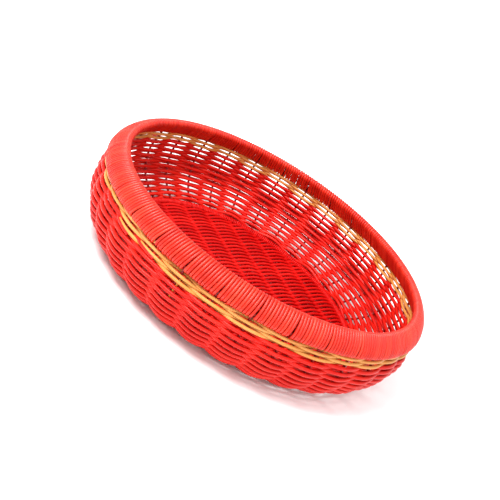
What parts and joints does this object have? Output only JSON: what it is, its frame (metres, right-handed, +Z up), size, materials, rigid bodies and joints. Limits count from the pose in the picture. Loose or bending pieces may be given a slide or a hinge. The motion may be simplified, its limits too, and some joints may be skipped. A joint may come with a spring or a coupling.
{
  "type": "round wicker basket",
  "caption": "Shallow round open basket woven from red plastic cord on a wire frame, with a gold band under a cord-wound rim",
  "frame": {"origin": "centre of the circle that the basket stands on, on the ground", "axes": "+Z up through the middle of the opening; +X and +Y lie in the ground plane"},
  "size_m": [0.3183, 0.3182, 0.0795],
  "materials": {
    "rim_cord": "satin",
    "wall_cord": "satin",
    "floor_cord": "satin",
    "gold_cord": "satin",
    "frame_wire": "satin"
  },
  "bodies": {
    "root": {"base_hoop": "frame_wire", "base_hoop_wrap": "floor_cord", "base_stake_1": "frame_wire", "base_stake_2": "frame_wire", "base_stake_3": "frame_wire", "base_stake_4": "frame_wire", "base_stake_5": "frame_wire", "base_stake_6": "frame_wire", "base_stake_7": "frame_wire", "base_stake_8": "frame_wire", "base_stake_9": "frame_wire", "floor_weavers_1": "floor_cord", "floor_weavers_2": "floor_cord", "floor_weavers_3": "floor_cord", "floor_weavers_4": "floor_cord", "gold_round_1_a": "gold_cord", "gold_round_1_b": "gold_cord", "gold_round_2_a": "gold_cord", "gold_round_2_b": "gold_cord", "gold_tail": "gold_cord", "lip_hoop": "frame_wire", "red_round_01_a": "wall_cord", "red_round_01_b": "wall_cord", "red_round_02_a": "wall_cord", "red_round_02_b": "wall_cord", "red_round_03_a": "wall_cord", "red_round_03_b": "wall_cord", "red_round_04_a": "wall_cord", "red_round_04_b": "wall_cord", "red_round_05_a": "wall_cord", "red_round_05_b": "wall_cord", "red_round_06_a": "wall_cord", "red_round_06_b": "wall_cord", "red_round_07_a": "wall_cord", "red_round_07_b": "wall_cord", "red_round_08_a": "wall_cord", "red_round_08_b": "wall_cord", "red_round_09_a": "wall_cord", "red_round_09_b": "wall_cord", "red_round_10_a": "wall_cord", "red_round_10_b": "wall_cord", "red_round_11_a": "wall_cord", "red_round_11_b": "wall_cord", "ribs": "frame_wire", "rim_lower_hoop": "frame_wire", "rim_shoulder_hoop": "frame_wire", "rim_wrap": "rim_cord"}
  },
  "joints": []
}
